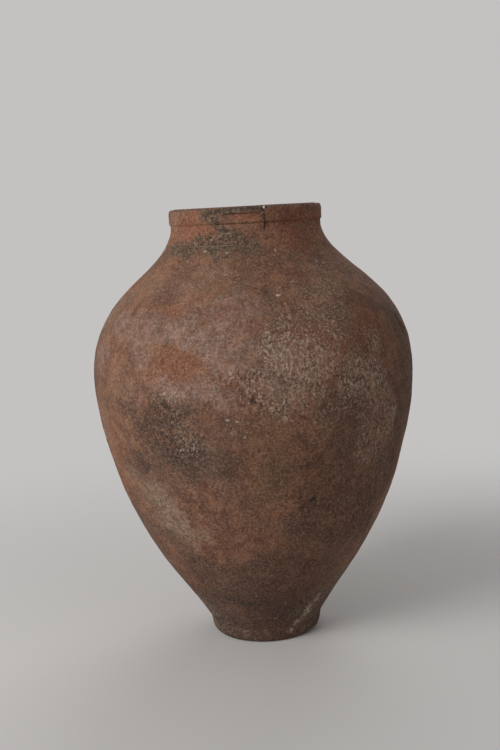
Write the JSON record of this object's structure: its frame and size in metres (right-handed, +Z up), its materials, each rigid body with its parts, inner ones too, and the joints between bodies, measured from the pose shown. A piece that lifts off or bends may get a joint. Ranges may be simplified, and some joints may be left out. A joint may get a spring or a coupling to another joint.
{
  "type": "olive jar",
  "caption": "Large unglazed earthenware storage jar with a small flat foot, a high round belly, a short neck and a banded rim, with a mended break at the rim.",
  "frame": {"origin": "centre of the foot's underside, on the surface that the jar stands on", "axes": "+Z up along the jar's axis; the pictured front faces -Y, and the mended break at the rim lies towards -X"},
  "size_m": [0.4073, 0.4074, 0.55],
  "materials": {
    "terracotta": "weathered unglazed earthenware, matt, with lime specks, soot and brown crust",
    "foot_clay": "dark worn unglazed earthenware, matt",
    "red_clay": "cleaner salmon earthenware of the mended piece, matt",
    "inner_clay": "finger-smeared unglazed earthenware, matt",
    "mortar": "grey sandy mortar, rough",
    "lime": "white lime plaster, matt"
  },
  "bodies": {
    "root": {"base": "foot_clay", "lower_wall": "terracotta", "waist_wall": "terracotta", "belly_wall": "terracotta", "shoulder_wall": "terracotta", "crown_wall": "terracotta", "neck_ring": "terracotta", "rim_band": "terracotta", "rim_sherd": "red_clay", "sherd_mortar": "mortar", "lime_plug": "lime", "foot_lute": "inner_clay", "lower_lute": "inner_clay", "waist_lute": "inner_clay", "belly_lute": "inner_clay", "shoulder_lute": "inner_clay", "crown_lute": "inner_clay"}
  },
  "joints": []
}
